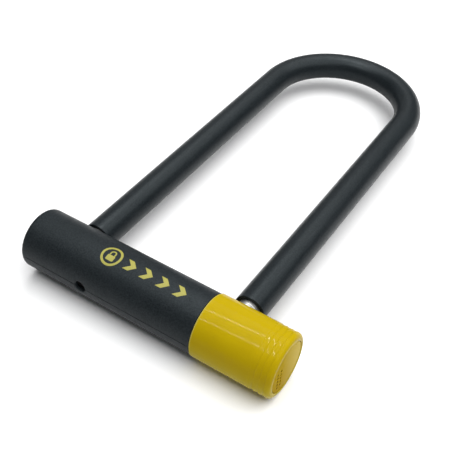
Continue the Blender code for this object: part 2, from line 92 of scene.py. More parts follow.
# Sizes that no box gives. Most repeat the CAD source. CAP_MOUTH_R, CAP_END_R, FRONT_HOLE_R, GROOVE_X and
# SOUND_HOLE_R differ from it by up to 0.2 mm, and the grooves have a profile of their own.
GAP = 0.3                    # air between neighbours
SLEEVE_BORE_R = SLEEVE_R - 2.2
SLEEVE_LEFT_Y = SLEEVE_LOW.y
SLEEVE_RIGHT_Y = 22.0
FOOT_R = 6.3
FOOT_TOP_Y = 17.0
NOTCH_HALF_Y = 3.9
NOTCH_ROOF_Z = -2.2
BORE_R = 16.2
COVER_MOUTH_R = 15.2
COVER_STEP_X = -76.5
COVER_LEG_HOLE_R = 9.8
CAP_LEG_HOLE_R = 8.0
CAP_MOUTH_R = 15.15
CAP_END_R = 18.95
FRONT_HOLE_R = 3.5
GROOVE_X = (77.5, 80.75, 84.0)
GROOVE_HALF = 1.5
GROOVE_STEP = 0.17
GROOVE_HOLLOW = 0.05
RIDGE_FLANK = 0.25
KEYHOLE_R = 3.4
BUSH_BORE_R = 7.25
FLAP_DISC_R = 5.8
FLAP_LOBE_R = 2.6
RIVET_SHANK_R = 1.2
RIVET_HOLE_R = RIVET_SHANK_R + GAP
SOCKET_R = 1.3
SOUND_HOLE_R = 0.8
SOUND_HOLE_ROWS = (-9.2, -5.9)
SOUND_HOLE_TOP_Z = 3.0
SOUND_HOLE_PITCH = 2.8
SOUND_HOLES_IN_ROW = 5
SINGLE_HOLE_R = 0.5
SINGLE_HOLE_AT = (7.7, 10.6)


def spot(x, y, z):
    """The place in the scene, in metres, of a point given in mm in the lock's frame."""
    return ZERO + Vector((x, y, z)) * MM


# Materials

class Look:
    """A procedural material: patterns in object space that feed one Principled shader."""

    def __init__(self, name, metallic=0.0, specular=0.5, index=1.5, tint=(1.0, 1.0, 1.0)):
        self.made = bpy.data.materials.new(name)
        self.made.use_nodes = True
        self.nodes = self.made.node_tree.nodes
        self.links = self.made.node_tree.links
        self.shader = self.nodes["Principled BSDF"]
        self.shader.inputs["Metallic"].default_value = metallic
        self.shader.inputs["Specular IOR Level"].default_value = specular
        self.shader.inputs["IOR"].default_value = index
        self.shader.inputs["Specular Tint"].default_value = (*tint, 1.0)
        self.place = self.nodes.new("ShaderNodeTexCoord").outputs["Object"]
        self.height = None

    def spread(self, value, low, high, start=0.3, end=0.7):
        """Maps a pattern's start..end to low..high."""
        node = self.nodes.new("ShaderNodeMapRange")
        self.links.new(value, node.inputs["Value"])
        node.inputs["From Min"].default_value = start
        node.inputs["From Max"].default_value = end
        node.inputs["To Min"].default_value = low
        node.inputs["To Max"].default_value = high
        return node.outputs["Result"]

    def noise(self, size, detail=3.0, stretch=(1, 1, 1)):
        """Soft noise whose features are about this many mm, times stretch along each axis."""
        mapping = self.nodes.new("ShaderNodeMapping")
        self.links.new(self.place, mapping.inputs["Vector"])
        mapping.inputs["Scale"].default_value = [1 / (size * MM * factor) for factor in stretch]
        node = self.nodes.new("ShaderNodeTexNoise")
        self.links.new(mapping.outputs["Vector"], node.inputs["Vector"])
        node.inputs["Scale"].default_value = 1.0
        node.inputs["Detail"].default_value = detail
        return node.outputs["Fac"]

    def specks(self, spacing, radius):
        """1 on small round specks about this far apart, 0 elsewhere, in mm."""
        node = self.nodes.new("ShaderNodeTexVoronoi")
        self.links.new(self.place, node.inputs["Vector"])
        node.inputs["Scale"].default_value = 1 / (spacing * MM)
        return self.spread(node.outputs["Distance"], 1.0, 0.0, 0.4 * radius / spacing, radius / spacing)

    def times(self, one, other):
        """The product of two patterns, or of a pattern and a number."""
        node = self.nodes.new("ShaderNodeMath")
        node.operation = "MULTIPLY"
        for socket, value in zip(node.inputs, (one, other)):
            if isinstance(value, float):
                socket.default_value = value
            else:
                self.links.new(value, socket)
        return node.outputs["Value"]

    def beyond(self, axis, start, end):
        """A mask that rises from 0 to 1 between two places along an axis of the lock's frame, in mm."""
        node = self.nodes.new("ShaderNodeSeparateXYZ")
        self.links.new(self.place, node.inputs["Vector"])
        index = "XYZ".index(axis)
        places = [ZERO[index] + value * MM for value in (start, end)]
        if start > end:
            return self.spread(node.outputs[axis], 1.0, 0.0, places[1], places[0])
        return self.spread(node.outputs[axis], 0.0, 1.0, *places)

    def blend(self, share, one, other):
        """Colours mixed by a pattern. Each colour is three numbers or a socket."""
        node = self.nodes.new("ShaderNodeMix")
        node.data_type = "RGBA"
        self.links.new(share, node.inputs["Factor"])
        for name, colour in (("A", one), ("B", other)):
            socket = next(s for s in node.inputs if s.name == name and s.type == "RGBA")
            if isinstance(colour, tuple):
                socket.default_value = (*colour, 1.0)
            else:
                self.links.new(colour, socket)
        return next(s for s in node.outputs if s.type == "RGBA")

    def bump(self, pattern, depth):
        """Adds relief of this depth in mm."""
        node = self.nodes.new("ShaderNodeBump")
        node.inputs["Strength"].default_value = 1.0
        node.inputs["Distance"].default_value = depth * MM
        self.links.new(pattern, node.inputs["Height"])
        if self.height is not None:
            self.links.new(self.height, node.inputs["Normal"])
        self.height = node.outputs["Normal"]

    def finish(self, colour, roughness):
        """Feeds the shader and returns the material."""
        self.links.new(colour, self.shader.inputs["Base Color"])
        self.links.new(roughness, self.shader.inputs["Roughness"])
        if self.height is not None:
            self.links.new(self.height, self.shader.inputs["Normal"])
        return self.made


COOL = (0.84, 0.96, 1.0)     # the blacks reflect a little bluish
BLACKS = (0.0046, 0.0068, 0.0082), (0.008, 0.0105, 0.012)


def black_cover_look():
    """Matt moulded plastic, bluish black, with a fine grain, faint handling marks and a little dust."""
    look = Look("black_cover", index=1.235, tint=COOL)
    cloudy = look.spread(look.noise(14, 4), 0.0, 1.0)
    tone = look.blend(cloudy, *BLACKS)
    dust = look.times(look.specks(5.0, 0.16), look.spread(look.noise(9), 0.0, 0.5, 0.5, 0.75))
    tone = look.blend(dust, tone, (0.16, 0.17, 0.17))
    mottle = look.spread(look.noise(0.8, 2), 0.0, 1.0, 0.34, 0.66)
    tone = look.blend(mottle, tone, (0.0155, 0.0192, 0.0215))
    scuffs = look.spread(look.noise(1.6, 2, (6, 1, 1)), 0.0, 0.35, 0.62, 0.8)
    tone = look.blend(scuffs, tone, (0.024, 0.027, 0.029))
    look.bump(look.noise(0.42, 2), 0.022)
    look.bump(look.noise(7, 2), 0.03)
    return look.finish(tone, look.spread(look.noise(3, 4), 0.40, 0.52))


def black_coating_look():
    """Soft vinyl over the shackle: a satin bluish black with a fine grain, rubbed streaks and lint."""
    look = Look("black_coating", index=1.25, tint=COOL)
    cloudy = look.spread(look.noise(20, 4), 0.0, 1.0)
    tone = look.blend(cloudy, *BLACKS)
    mottle = look.spread(look.noise(0.8, 2), 0.0, 0.9, 0.34, 0.66)
    tone = look.blend(mottle, tone, (0.0135, 0.0172, 0.0195))
    streaks = look.spread(look.noise(0.9, 3, (1, 22, 1)), 0.0, 0.4, 0.55, 0.8)
    tone = look.blend(streaks, tone, (0.024, 0.027, 0.030))
    lint = look.times(look.specks(3.6, 0.14), look.spread(look.noise(8), 0.0, 0.6, 0.48, 0.72))
    tone = look.blend(lint, tone, (0.2, 0.21, 0.21))
    look.bump(look.noise(0.35, 2), 0.012)
    look.bump(look.noise(5, 2, (1, 4, 1)), 0.04)
    return look.finish(tone, look.spread(look.noise(2.4, 4), 0.29, 0.41))


def yellow_look(name, light, dark, rough, specular, index=1.5):
    """Moulded yellow with a faint orange peel and rubbed patches, painted shade in a deeper tone down its
    sides, painted bounce light below its axis and a painted highlight along its inner rim. The disc has
    painted shade towards its bottom and below its face, within the holes, and a painted reflection towards
    the bow's side."""
    on_disc = name == "yellow_disc_shaded"
    look = Look(name, specular=specular, index=index)
    cloudy = look.spread(look.noise(12, 3), 0.0, 1.0)
    tone = look.blend(cloudy, light, dark)
    if on_disc:
        # painted shade: the disc's yellow turns darker and more orange towards its bottom
        tone = look.blend(look.beyond("Z", 12.0, -10.0), tone, (0.336, 0.213, 0.004))
    else:
        # painted shade down the cap's sides in a deeper orange, and below its axis a lighter tone as painted
        # bounce light
        tone = look.blend(look.beyond("Z", 15.0, 6.5), tone, (0.358, 0.252, 0.003))
        tone = look.blend(look.beyond("Z", 5.0, -4.0), tone, (0.372, 0.288, 0.009))
    grime = look.spread(look.noise(2.0, 4), 0.0, 0.16, 0.58, 0.8)
    tone = look.blend(grime, tone, (0.28, 0.20, 0.012))
    # painted highlight: a paler, whiter band along the cap's inner rim
    painted_rim_highlight = look.beyond("X", CAP_LOW.x + 1.0, CAP_LOW.x + 0.2)
    tone = look.blend(painted_rim_highlight, tone, (0.52, 0.45, 0.10))
    if on_disc:
        # painted reflection: a paler, greyer tone towards the bow's side of the disc
        painted_disc_reflection = look.beyond("Y", -6.0, 12.0)
        tone = look.blend(painted_disc_reflection, tone, (0.50, 0.38, 0.085))
        # painted shade: dark below the disc's face, on the walls of the sound holes
        painted_hole_shade = look.beyond("X", GRILLE_HIGH.x - 0.1, GRILLE_HIGH.x - 0.3)
        tone = look.blend(painted_hole_shade, tone, (0.03, 0.02, 0.003))
    look.bump(look.noise(2.6, 2), 0.0015)
    return look.finish(tone, look.spread(look.noise(5, 4), *rough))


def print_look():
    """Screen-printed ink, dull yellow, slightly broken by the grain below it."""
    look = Look("print_ink", specular=0.4)
    worn = look.spread(look.noise(0.5, 3), 0.0, 1.0, 0.35, 0.75)
    tone = look.blend(worn, (0.33, 0.305, 0.038), (0.27, 0.25, 0.033))
    look.bump(look.noise(0.4, 2), 0.01)
    return look.finish(tone, look.spread(look.noise(1.0), 0.45, 0.6))


def metal_look(name, light, dark, rough, stretch, size=0.5, depth=0.004):
    """Metal with tool marks stretched along one axis and duller patches."""
    look = Look(name, metallic=1.0)
    lines = look.noise(size, 3, stretch)
    patches = look.spread(look.noise(4, 4), 0.0, 1.0)
    tone = look.blend(look.spread(lines, 0.0, 1.0), light, dark)
    tone = look.blend(look.times(patches, 0.35), tone, dark)
    look.bump(lines, depth)
    return look.finish(tone, look.spread(lines, *rough))


def plain_look(name, light, dark, rough, grain=0.5, depth=0.012, specular=0.4):
    """Moulded plastic, rubber or board: two close tones, a grain and an uneven sheen."""
    look = Look(name, specular=specular)
    tone = look.blend(look.spread(look.noise(6, 4), 0.0, 1.0), light, dark)
    look.bump(look.noise(grain, 2), depth)
    return look.finish(tone, look.spread(look.noise(2, 3), *rough))


BLACK_COVER = black_cover_look()
BLACK_COATING = black_coating_look()
YELLOW = yellow_look("yellow_plastic", (0.425, 0.305, 0.003), (0.405, 0.286, 0.003), (0.06, 0.10), 0.03)
# painted shade: the disc's yellow is a darker, more orange copy of the cap's, for a face that gets little
# light
YELLOW_DISC_SHADED = yellow_look(
    "yellow_disc_shaded", (0.375, 0.258, 0.004), (0.355, 0.242, 0.004), (0.34, 0.44), 0.04, 1.12,
)
PRINT = print_look()
STEEL = metal_look(
    "bright_steel", (0.50, 0.50, 0.49), (0.20, 0.20, 0.195), (0.40, 0.56), (6, 1, 6), 0.5, 0.008,
)
DARK_STEEL = metal_look("dark_steel", (0.11, 0.11, 0.115), (0.05, 0.05, 0.055), (0.38, 0.55), (1, 1, 6))
BLACK_PLASTIC = plain_look("black_plastic", (0.018, 0.019, 0.02), (0.011, 0.012, 0.013), (0.42, 0.56))
SLOT_LOOKS = {
    "black_cover": BLACK_COVER,
    "black_coating": BLACK_COATING,
    "yellow_plastic": YELLOW,
    "bright_steel": STEEL,
    "dark_steel": DARK_STEEL,
    "brass": metal_look("brass", (0.78, 0.58, 0.27), (0.52, 0.36, 0.15), (0.25, 0.42), (1, 1, 5)),
    "zinc": metal_look("zinc", (0.5, 0.5, 0.5), (0.36, 0.36, 0.37), (0.45, 0.6), (1, 1, 1), 0.8, 0.02),
    "seal_rubber": plain_look("seal_rubber", (0.022, 0.022, 0.022), (0.014, 0.014, 0.014), (0.7, 0.85)),
    "white_plastic": plain_look("white_plastic", (0.76, 0.76, 0.72), (0.66, 0.66, 0.61), (0.4, 0.55)),
    "green_board": plain_look("green_board", (0.02, 0.2, 0.08), (0.012, 0.13, 0.05), (0.3, 0.45), 1.2),
    "black_plastic": BLACK_PLASTIC,
}


def dress_cad_nodes():
    """Gives every CAD node the look of its material slot."""
    for entry in frame["record"]["subparts"]:
        for holder in frame["nodes"][entry["node"]].material_slots:
            holder.material = SLOT_LOOKS[entry["material_slot"]]


# Shape tools

class Skin:
    """Points, in mm in the lock's frame, and the faces between them."""

    def __init__(self):
        self.points = []
        self.faces = []

    def row(self, points):
        """Adds points and returns their indices."""
        first = len(self.points)
        self.points.extend(points)
        return list(range(first, len(self.points)))

    def bridge(self, one, other, closed=True):
        """Quads between two rows of the same length."""
        for k in range(len(one) if closed else len(one) - 1):
            after = (k + 1) % len(one)
            self.faces.append((one[k], one[after], other[after], other[k]))

    def lid(self, row):
        self.faces.append(tuple(row))

    def loft(self, rings, hollow=False):
        """Skins over closed rings of points in turn. A solid gets a lid at each end, and a hollow shape joins
        its last ring to its first."""
        rows = [self.row(points) for points in rings]
        for one, other in zip(rows, rows[1:]):
            self.bridge(one, other)
        if hollow:
            self.bridge(rows[-1], rows[0])
        else:
            self.lid(rows[0])
            self.lid(rows[-1])
        return self


def object_of(name, skin):
    """A mesh object with its faces pointing out and no loose points."""
    mesh = bpy.data.meshes.new(name)
    mesh.from_pydata([spot(*point) for point in skin.points], [], skin.faces)
    shape = bmesh.new()
    shape.from_mesh(mesh)
    loose = [vertex for vertex in shape.verts if not vertex.link_faces]
    bmesh.ops.delete(shape, geom=loose, context="VERTS")
    bmesh.ops.recalc_face_normals(shape, faces=shape.faces)
    shape.to_mesh(mesh)
    shape.free()
    obj = bpy.data.objects.new(name, mesh)
    bpy.context.scene.collection.objects.link(obj)
    return obj


def cut(obj, *cutters):
    """Takes the cutters out of the object and removes them."""
    for cutter in cutters:
        step = obj.modifiers.new(cutter.name, "BOOLEAN")
        step.operation = "DIFFERENCE"
        step.solver = "EXACT"
        step.object = cutter
    graph = bpy.context.evaluated_depsgraph_get()
    mesh = bpy.data.meshes.new_from_object(obj.evaluated_get(graph))
    obj.modifiers.clear()
    obj.data = mesh
    for cutter in cutters:
        bpy.data.objects.remove(cutter)


def dress(obj, body, look, stands_for=(), sharp=32):
    """Smooth shading, a material, a body to ride on and the CAD nodes it stands for."""
    mesh = obj.data
    mesh.materials.clear()
    mesh.materials.append(look)
    mesh.shade_smooth()
    mesh.set_sharp_from_angle(angle=math.radians(sharp))
    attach(obj, body)
    if stands_for:
        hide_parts(*stands_for)


def soften(corners, steps=5):
    """Turns corners (along, out, rounding) into points, each rounded that far to either side of it."""
    points = []
    for index, (along, out, rounding) in enumerate(corners):
        here = Vector((along, out))
        if not rounding or index in (0, len(corners) - 1):
            points.append((along, out))
            continue
        before = Vector(corners[index - 1][:2]) - here
        after = Vector(corners[index + 1][:2]) - here
        start = here + before.normalized() * rounding
        end = here + after.normalized() * rounding
        for step in range(steps + 1):
            t = step / steps
            point = start * (1 - t) ** 2 + here * 2 * t * (1 - t) + end * t ** 2
            points.append((point.x, point.y))
    return points


def circle(axis, along, radius, centre=(0.0, 0.0), sides=96):
    """Points of a circle across an axis."""
    made = []
    for k in range(sides):
        angle = 2 * math.pi * k / sides
        one = centre[0] + radius * math.cos(angle)
        other = centre[1] + radius * math.sin(angle)
        made.append({"X": (along, one, other), "Y": (one, along, other), "Z": (one, other, along)}[axis])
    return made


def turned(skin, profile, axis="X", centre=(0.0, 0.0), sides=96, hollow=False):
    """A turned shape from (along, radius) points, solid or a hollow ring."""
    return skin.loft([circle(axis, along, radius, centre, sides) for along, radius in profile], hollow)


# Crossbar: shells with holes whose edges are rounded

SIDES = 160
COARSE_STEP = 7.0    # mm between rows away from the holes
SEAM_FLAT = 0.55     # share of a seam's half width that is flat
HOLE_CELLS = 14      # cells along the crossbar across a hole's patch
PATCH_STEPS = 5
LIP_STEPS = 5
WALL_STEPS = 3
Hole = namedtuple("Hole", "x angle radius lip half_x half_angle")


def shared_stations(start, end, holes):
    """Places along the crossbar where both skins have a row: close together across a hole."""
    marks = {start, end}
    for hole in holes:
        marks |= {round(hole.x + hole.half_x * (2 * k / HOLE_CELLS - 1), 4) for k in range(HOLE_CELLS + 1)}
    marks = sorted(marks)
    places = marks[:1]
    for low, high in zip(marks, marks[1:]):
        steps = max(1, round((high - low) / COARSE_STEP))
        places += [low + (high - low) * (k + 1) / steps for k in range(steps)]
    return places


def angle_rows(seam):
    """Angles round the crossbar, from straight down and up past the bow's side, with extra rows at a seam."""
    angles = [-math.pi / 2 + 2 * math.pi * k / SIDES for k in range(SIDES)]
    depths = [0.0] * SIDES
    if seam:
        seam_angle, half_width, depth, radius = seam
        middle = min(range(SIDES), key=lambda k: abs(angles[k] - seam_angle))
        flank, lip = SEAM_FLAT * half_width / radius, half_width / radius
        angles[middle:middle + 1] = [seam_angle + offset for offset in (-lip, -flank, 0.0, flank, lip)]
        depths[middle:middle + 1] = [0.0, depth, depth, depth, 0.0]
    return angles, depths


def hole_patch(skin, hole, places, rows, angles, depths, outer, inner, radii):
    """Fills the window left in both skins with a hole whose edge rolls over into its wall."""
    outer_r, inner_r = radii
    side = 1 if abs(hole.angle) < 1 else -1
    last = len(places) - 1
    window = [(a, rows[0]) for a in range(last + 1)]
    window += [(last, j) for j in rows[1:]]
    window += [(a, rows[-1]) for a in range(last - 1, -1, -1)]
    window += [(0, j) for j in reversed(rows[1:-1])]

    def points(toward, reach, radius, sink=0.0, groove=0.0):
        """A closed row between the window's edge (toward 1) and a circle about the hole's axis (toward 0)."""
        made = []
        for a, j in window:
            edge = Vector((places[a] - hole.x, radius * math.sin(angles[j])))
            direction = Vector((places[a] - hole.x, outer_r * math.sin(angles[j]))).normalized()
            flat = direction * reach * (1 - toward) + edge * toward
            height = math.sqrt((radius - groove * depths[j]) ** 2 - flat.y ** 2) - sink
            made.append((hole.x + flat.x, side * height, flat.y))
        return made

    previous = [outer[a][j] for a, j in window]
    ring_rows = []
    lip_reach = hole.radius + hole.lip
    for step in range(1, PATCH_STEPS + 1):
        ring_rows.append(points(1 - step / PATCH_STEPS, lip_reach, outer_r, groove=1.0))
    for step in range(1, LIP_STEPS + 1):
        turn = math.pi / 2 * step / LIP_STEPS
        reach = hole.radius + hole.lip * (1 - math.sin(turn))
        ring_rows.append(points(0, reach, outer_r, hole.lip * (1 - math.cos(turn)), math.cos(turn)))
    top = ring_rows[-1]
    bottom = points(0, hole.radius, inner_r)
    for step in range(1, WALL_STEPS):
        share = step / WALL_STEPS
        ring_rows.append([tuple(Vector(p).lerp(Vector(q), share)) for p, q in zip(top, bottom)])
    ring_rows.append(bottom)
    ring_rows.append(points(0.5, hole.radius, inner_r))
    for ring_points in ring_rows:
        current = skin.row(ring_points)
        skin.bridge(previous, current)
        previous = current
    skin.bridge(previous, [inner[a][j] for a, j in window])


def shell(left_end, right_end, places, radii, holes, seam=None):
    """A round shell. Its ends are (along, radius) profiles that run from the inner skin out on the left and
    from the outer skin in on the right. Both skins share the places between."""
    skin = Skin()
    angles, depths = angle_rows(seam)

    def ring_at(along, radius, groove=0.0):
        return skin.row([
            (along, (radius - groove * depth) * math.cos(angle), (radius - groove * depth) * math.sin(angle))
            for angle, depth in zip(angles, depths)
        ])

    left = [ring_at(*point) for point in left_end]
    outer = [ring_at(place, radii[0], 1.0) for place in places]
    right = [ring_at(*point) for point in right_end]
    inner = [ring_at(place, radii[1]) for place in places]
    windows = []
    for hole in holes:
        across = [a for a, place in enumerate(places) if abs(place - hole.x) <= hole.half_x + 0.001]
        rows = [j for j, angle in enumerate(angles) if abs(angle - hole.angle) <= hole.half_angle + 0.001]
        windows.append((hole, across, rows))

    def in_window(a, j):
        return any(across[0] <= a < across[-1] and rows[0] <= j < rows[-1] for _, across, rows in windows)

    count = len(angles)
    for a in range(len(places) - 1):
        for j in range(count):
            if in_window(a, j):
                continue
            after = (j + 1) % count
            for skin_rows in (outer, inner):
                here, ahead = skin_rows[a], skin_rows[a + 1]
                skin.faces.append((here[j], here[after], ahead[after], ahead[j]))
    for one, other in zip(left + outer[:1], left[1:] + outer[:1]):
        skin.bridge(one, other)
    for one, other in zip(outer[-1:] + right[:-1], right):
        skin.bridge(one, other)
    skin.bridge(right[-1], inner[-1])
    skin.bridge(inner[0], left[0])
    for hole, across, rows in windows:
        hole_patch(
            skin, hole, [places[a] for a in across], rows, angles, depths,
            [outer[a] for a in across], [inner[a] for a in across], radii,
        )
    return skin


def rows_wide(count):
    """The half angle that this many rows of the skin span."""
    return 2 * math.pi * count / SIDES


def cover_shell():
    edge_r = 2.6
    left_end = soften([
        (COVER_STEP_X, BORE_R, 0),
        (COVER_STEP_X, COVER_MOUTH_R, 0),
        (COVER_LOW.x, COVER_MOUTH_R, 0.4),
        (COVER_LOW.x, COVER_R, edge_r),
        (COVER_LOW.x + edge_r + 0.3, COVER_R, 0),
    ], 8)
    right_end = soften([
        (COVER_HIGH.x - 0.5, COVER_R, 0),
        (COVER_HIGH.x, COVER_R, 0.3),
        (COVER_HIGH.x, BORE_R, 0.2),
        (COVER_HIGH.x - 0.6, BORE_R, 0),
    ])
    holes = [
        Hole(x=-LEG_X, angle=0.0, radius=COVER_LEG_HOLE_R, lip=0.8, half_x=12.2, half_angle=rows_wide(18)),
        Hole(x=SCREW_X, angle=math.pi, radius=FRONT_HOLE_R, lip=0.85, half_x=6.2, half_angle=rows_wide(8)),
    ]
    places = shared_stations(COVER_LOW.x + edge_r + 0.9, COVER_HIGH.x - 1.2, holes)
    half_width, depth = 0.3, 0.22
    seam = (math.pi, half_width, depth, COVER_R)
    skin = shell(left_end, right_end, places, (COVER_R, BORE_R), holes, seam)
    dress(object_of("cover_shell", skin), "crossbar", BLACK_COVER, ["crossbar_cover"], 40)


def cap_radius(along):
    """The cap's outer radius: three shallow hollows in a row, with a narrow ridge between them."""
    for middle in GROOVE_X:
        offset = abs(along - middle)
        if offset < GROOVE_HALF:
            hollow = 1 - (offset / GROOVE_HALF) ** 2
            flank = min(1.0, (GROOVE_HALF - offset) / RIDGE_FLANK)
            return CAP_R - GROOVE_STEP * flank - GROOVE_HOLLOW * hollow
    return CAP_R


def cap_shell():
    rim = 0.45
    left_end = soften([
        (CAP_LOW.x + 0.6, BORE_R, 0),
        (CAP_LOW.x, BORE_R, 0.25),
        (CAP_LOW.x, CAP_R - rim, 0.12),
        (CAP_LOW.x + rim, CAP_R, 0.15),
        (CAP_LOW.x + 1.0, CAP_R, 0),
    ], 3)
    fillet = 2.7
    groove_start, groove_end, step = GROOVE_X[0] - 1.7, CAP_HIGH.x - fillet, 0.1
    count = round((groove_end - groove_start) / step)
    grooved = [groove_start + (groove_end - groove_start) * k / count for k in range(count)]
    right_end = [(along, cap_radius(along)) for along in grooved]
    corner_r, corner_x = CAP_END_R - fillet, CAP_HIGH.x - fillet
    fillet_steps = 10
    for k in range(fillet_steps + 1):
        turn = math.pi / 2 * k / fillet_steps
        right_end.append((corner_x + fillet * math.sin(turn), corner_r + fillet * math.cos(turn)))
    mouth_depth = GRILLE_LOW.x - GAP
    right_end += soften([
        (CAP_HIGH.x, corner_r - 0.2, 0),
        (CAP_HIGH.x, CAP_MOUTH_R, 0.35),
        (mouth_depth, CAP_MOUTH_R, 0),
        (mouth_depth, BORE_R, 0),
    ])
    holes = [Hole(x=LEG_X, angle=0.0, radius=CAP_LEG_HOLE_R, lip=0.6, half_x=10.0, half_angle=rows_wide(14))]
    places = shared_stations(CAP_LOW.x + 1.6, groove_start - 0.6, holes)
    skin = shell(left_end, right_end, places, (CAP_R, BORE_R), holes)
    dress(object_of("alarm_cap_shell", skin), "crossbar", YELLOW, ["alarm_cap"], 40)


# Siren grille

def sound_hole_places():
    """Two rows of holes on the front side of the centre."""
    for row_y in SOUND_HOLE_ROWS:
        for step in range(SOUND_HOLES_IN_ROW):
            yield row_y, SOUND_HOLE_TOP_Z - SOUND_HOLE_PITCH * step


def siren_grille():
    face, back, rim_r, lid_r = GRILLE_HIGH.x, GRILLE_LOW.x, GRILLE_HIGH.z, 2.0
    profile = soften([(back, lid_r, 0), (back, rim_r, 0.3), (face, rim_r, 0.45), (face, lid_r, 0)])
    disc = object_of("siren_grille_disc", turned(Skin(), profile, sides=128))
    cutters = Skin()
    holes = [(place, SOUND_HOLE_R) for place in sound_hole_places()] + [(SINGLE_HOLE_AT, SINGLE_HOLE_R)]
    for place, radius in holes:
        flare = [(back - 1, radius), (face - 0.12, radius), (face, radius + 0.08), (face + 0.3, radius + 0.4)]
        turned(cutters, flare, centre=place, sides=24)
    cut(disc, object_of("sound_hole_cutters", cutters))
    dress(disc, "crossbar", YELLOW_DISC_SHADED, ["siren_grille"])


# Key end

def rivet_hole(name, front, back):
    """A cutter for the rivet's hole, right through from front to back."""
    profile = [(back + 1, RIVET_HOLE_R), (front - 1, RIVET_HOLE_R)]
    return object_of(name, turned(Skin(), profile, centre=(0.0, PIVOT_Z), sides=32))


def key_face():
    front, back, radius = PLATE_LOW.x, PLATE_HIGH.x, PLATE_HIGH.z
    recess = 0.35
    groove_in, floor_in, floor_out, groove_out = 10.2, 10.6, 13.2, 13.6
    profile = soften([
        (back, KEYHOLE_R, 0),
        (front, KEYHOLE_R, 0.45),
        (front, groove_in, 0.2),
        (front + recess, floor_in, 0.2),
        (front + recess, floor_out, 0.2),
        (front, groove_out, 0.2),
        (front, radius, 0.35),
        (back, radius, 0),
    ])
    face = object_of("key_face", turned(Skin(), profile, sides=128, hollow=True))
    cut(face, rivet_hole("rivet_hole_cutter", front, back))
    dress(face, "crossbar", BLACK_PLASTIC, ["key_end_plate"])


def teardrop(along, inset):
    """The dust cover's outline at one depth: a disc over the keyhole and a lobe about the rivet, joined by
    straights."""
    lean = math.asin((FLAP_DISC_R - FLAP_LOBE_R) / PIVOT_Z)
    made = []
    for centre_z, radius, start, end, steps in (
        (0.0, FLAP_DISC_R - inset, math.pi - lean, 2 * math.pi + lean, 40),
        (PIVOT_Z, FLAP_LOBE_R - inset, lean, math.pi - lean, 24),
    ):
        for step in range(steps + 1):
            angle = start + (end - start) * step / steps
            made.append((along, radius * math.cos(angle), centre_z + radius * math.sin(angle)))
    return made


def dust_cover_plate():
    front, back = FLAP_LOW.x, FLAP_HIGH.x
    # depth and inset of each outline: the edge is broken at the back and rounded at the front
    layers = [(back, 0.12), (back - 0.1, 0.0), (front + 0.25, 0.0), (front + 0.1, 0.06), (front, 0.25)]
    flap = object_of("dust_cover_plate", Skin().loft([teardrop(*layer) for layer in layers]))
    cut(flap, rivet_hole("flap_hole_cutter", front, back))
    dress(flap, "dust_cover", STEEL, ["dust_cover"])


def rivet():
    head_r = (RIVET_HIGH.z - RIVET_LOW.z) / 2
    head_x = FLAP_LOW.x - 0.2
    dome_steps = 7
    dome = [(head_x, head_r)]
    for k in range(1, dome_steps):
        turn = math.pi / 2 * k / dome_steps
        dome.append((head_x + (RIVET_LOW.x - head_x) * math.sin(turn), head_r * math.cos(turn)))
    profile = [(RIVET_HIGH.x, RIVET_SHANK_R), (head_x, RIVET_SHANK_R), *dome]
    skin = turned(Skin(), profile, centre=(0.0, PIVOT_Z), sides=48)
    dress(object_of("rivet", skin), "crossbar", STEEL, ["dust_cover_rivet"])


def retaining_screw():
    tip, head = SCREW_HIGH.y, SCREW_LOW.y
    radius = SCREW_HIGH.z
    centre = (SCREW_X, 0.0)
    profile = soften([(tip, radius - 0.5, 0), (tip - 0.5, radius, 0.1), (head + 0.4, radius, 0.1),
                      (head, radius - 0.4, 0.1), (head, 0.4, 0)])
    screw = object_of("socket_screw", turned(Skin(), profile, "Y", centre, 48))
    socket_depth, six_sided = 2.4, 6
    socket = turned(Skin(), [(head - 2, SOCKET_R), (head + socket_depth, SOCKET_R)], "Y", centre, six_sided)
    cut(screw, object_of("socket_cutter", socket))
    dress(screw, "crossbar", DARK_STEEL, ["retaining_screw"])


def leg_bushes():
    low, high = BUSH_LOW.y, BUSH_HIGH.y
    outer = (BUSH_HIGH.x - BUSH_LOW.x) / 2
    corners = [(low, BUSH_BORE_R + 0.3, 0), (low, outer, 0.2), (high, outer, 0.3), (high, BUSH_BORE_R, 0.6),
               (low, BUSH_BORE_R, 0.2), (low, BUSH_BORE_R + 0.3, 0)]
    for name, x in (("left", -LEG_X), ("right", LEG_X)):
        skin = turned(Skin(), soften(corners)[:-1], "Y", (x, 0.0), 96, hollow=True)
        bush = object_of(f"bush_{name}", skin)
        dress(bush, "crossbar", BLACK_PLASTIC, [f"leg_bush_{name}"])


# Shackle

TUBE_SIDES = 72
BOW_STEPS = 72
LEG_STEPS = 16


def leg_ring(side, along, radius):
    """A ring across a leg, side -1 for the left one."""
    return u_ring(side * LEG_X, along, side, 0.0, radius)


def bow_ring(angle, radius):
    """A ring across the bow, at an angle counted from the right leg."""
    outward = math.cos(angle), math.sin(angle)
    return u_ring(LEG_X * outward[0], BOW_Y + LEG_X * outward[1], *outward, radius)


def u_ring(x, y, out_x, out_y, radius):
    """A ring about (x, y), in the plane of Z and the direction that points out of the U."""
    made = []
    for k in range(TUBE_SIDES):
        angle = 2 * math.pi * k / TUBE_SIDES
        sideways = radius * math.cos(angle)
        made.append((x + out_x * sideways, y + out_y * sideways, radius * math.sin(angle)))
    return made


def u_rings(left_start, right_start, radius):
    """Rings from a place on the left leg, round the bow, to a place on the right leg."""

    def leg(side, start):
        return [leg_ring(side, start + (BOW_Y - start) * k / LEG_STEPS, radius) for k in range(LEG_STEPS)]

    bow = [bow_ring(math.pi * (1 - k / BOW_STEPS), radius) for k in range(BOW_STEPS + 1)]
    return leg(-1, left_start) + bow + leg(1, right_start)[::-1]


